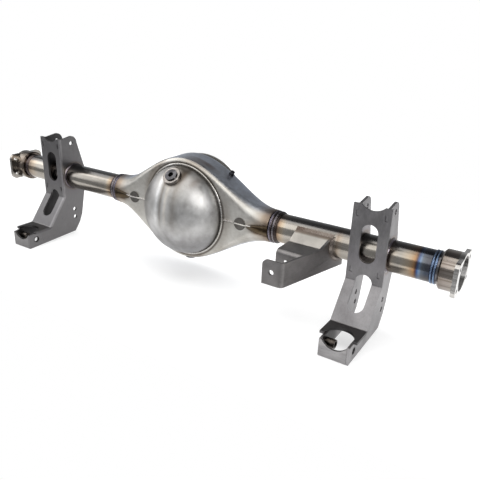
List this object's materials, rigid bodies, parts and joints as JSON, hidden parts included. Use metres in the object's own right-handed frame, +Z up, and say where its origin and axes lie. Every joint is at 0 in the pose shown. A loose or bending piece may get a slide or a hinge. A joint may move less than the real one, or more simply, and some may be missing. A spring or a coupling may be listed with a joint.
{
  "type": "axle housing",
  "caption": "Welded rear axle housing: domed pressed centre, tubes with bearing ends, slotted link and shock brackets, and a track bar bracket.",
  "frame": {"origin": "middle of the pressed centre on the tube axis", "axes": "+X along the axle to the end with the track bar bracket, +Y to the carrier opening, +Z up"},
  "size_m": [1.49, 0.2613, 0.3429],
  "materials": {
    "centre_steel": "bare pressed steel, ground at the edges",
    "cover_steel": "bare spun steel, satin",
    "tube_steel": "polished bare steel tube",
    "weld_tint": "weld with straw, purple and blue heat tint",
    "end_steel": "forged steel, machined at the flange",
    "plate_steel": "laser cut mild steel plate with mill grey",
    "track_steel": "bent mild steel plate",
    "fitting_steel": "turned bright steel",
    "black_fitting": "black oxide",
    "disc_steel": "dark grey steel discs"
  },
  "bodies": {
    "root": {"center_upper_half": "centre_steel", "center_lower_half": "centre_steel", "carrier_flange": "centre_steel", "rear_cover": "cover_steel", "rear_cover_weld": "cover_steel", "left_axle_tube": "tube_steel", "right_axle_tube": "tube_steel", "left_tube_collar": "weld_tint", "right_tube_collar": "weld_tint", "left_end_weld": "weld_tint", "right_end_weld": "weld_tint", "left_bracket_welds": "weld_tint", "right_bracket_welds": "weld_tint", "track_bar_weld": "weld_tint", "left_housing_end": "end_steel", "right_housing_end": "end_steel", "left_bracket_face_plate": "plate_steel", "left_bracket_outer_side": "plate_steel", "left_bracket_inner_side": "plate_steel", "left_foot_wall": "plate_steel", "right_bracket_face_plate": "plate_steel", "right_bracket_outer_side": "plate_steel", "right_bracket_inner_side": "plate_steel", "right_foot_wall": "plate_steel", "track_bar_side_plate": "track_steel", "track_bar_cover": "track_steel", "filler_bung": "fitting_steel", "drain_bung": "fitting_steel", "left_shock_sleeve": "fitting_steel", "right_shock_sleeve": "fitting_steel", "filler_plug": "black_fitting", "drain_plug": "black_fitting", "vent_fitting": "black_fitting", "seam_discs": "disc_steel"}
  },
  "joints": []
}
